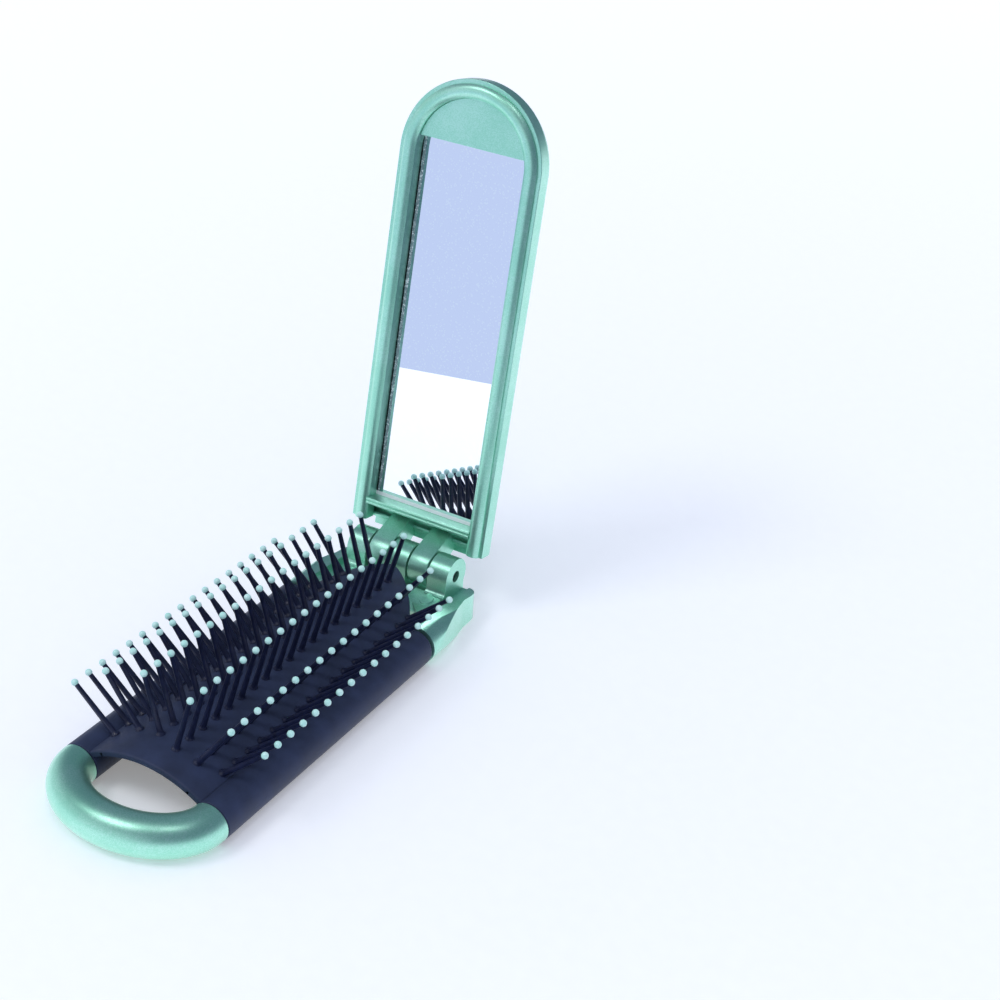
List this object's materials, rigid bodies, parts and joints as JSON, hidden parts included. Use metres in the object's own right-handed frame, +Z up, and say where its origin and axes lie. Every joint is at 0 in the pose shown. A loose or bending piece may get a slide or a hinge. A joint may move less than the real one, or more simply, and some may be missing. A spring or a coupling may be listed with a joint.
{
  "type": "folding hair brush with mirror",
  "caption": "Pocket hair brush with a pop-up pad of pins between two grips, a finger loop and a hinged lid that holds a mirror.",
  "frame": {"origin": "on the resting plane, on the flat underside of the hinge block, straight below the lid's hinge axis", "axes": "+X across the brush, +Y from the finger loop towards the hinge, +Z up from the resting plane"},
  "size_m": [0.0444, 0.1309, 0.1129],
  "materials": {
    "mint_plastic": "pearl",
    "grip_rubber": "matte",
    "pin_plastic": "satin",
    "pin_steel": "satin",
    "mirror": "polished",
    "foam_tape": "matte"
  },
  "bodies": {
    "frame": {"loop_frame": "mint_plastic", "hinge_block": "mint_plastic"},
    "right_side": {"right_grip": "grip_rubber", "right_outer_row": "grip_rubber"},
    "left_side": {"left_grip": "grip_rubber", "left_outer_row": "grip_rubber"},
    "right_middle": {"right_inner_rows": "pin_plastic", "right_crease": "grip_rubber", "centre_crease": "grip_rubber"},
    "left_middle": {"left_inner_rows": "pin_plastic", "left_crease": "grip_rubber"},
    "pin": {"hinge_pin": "pin_steel"},
    "lid": {"lid_shell": "mint_plastic", "mirror_frame": "mint_plastic", "mirror_glass": "mirror", "mirror_tape": "foam_tape"}
  },
  "joints": [
    {"name": "lid_lean_back", "type": "hinge", "parent": "frame", "child": "pin", "pos_m": [0, 0, 0.0103], "axis": [-1, 0, 0], "range_deg": [0, 65]},
    {"name": "lid_close", "type": "hinge", "parent": "pin", "child": "lid", "pos_m": [0, 0, 0.0103], "axis": [-1, 0, 0], "range_deg": [-101, 0]},
    {"name": "right_side_turn", "type": "hinge", "parent": "frame", "child": "right_side", "pos_m": [0.0154, -0.055, 0.0042], "axis": [0, 1, 0], "range_deg": [-86, 0]},
    {"name": "left_side_turn", "type": "hinge", "parent": "frame", "child": "left_side", "pos_m": [-0.0154, -0.055, 0.0042], "axis": [0, 1, 0], "range_deg": [0, 86]},
    {"name": "right_middle_fold", "type": "hinge", "parent": "frame", "child": "right_middle", "pos_m": [0.0258, -0.055, 0.0055], "axis": [0, 1, 0], "range_deg": [-33.5, 0], "deforming": ["right_crease", "centre_crease"]},
    {"name": "left_middle_fold", "type": "hinge", "parent": "frame", "child": "left_middle", "pos_m": [-0.0258, -0.055, 0.0055], "axis": [0, 1, 0], "range_deg": [0, 33.5], "deforming": ["left_crease"]}
  ],
  "couplings": [
    {"joint": "right_side_turn", "follows": "lid_close", "ratio": 0.8514},
    {"joint": "left_side_turn", "follows": "lid_close", "ratio": -0.8514},
    {"joint": "right_middle_fold", "follows": "lid_close", "ratio": 0.3316},
    {"joint": "left_middle_fold", "follows": "lid_close", "ratio": -0.3316}
  ]
}
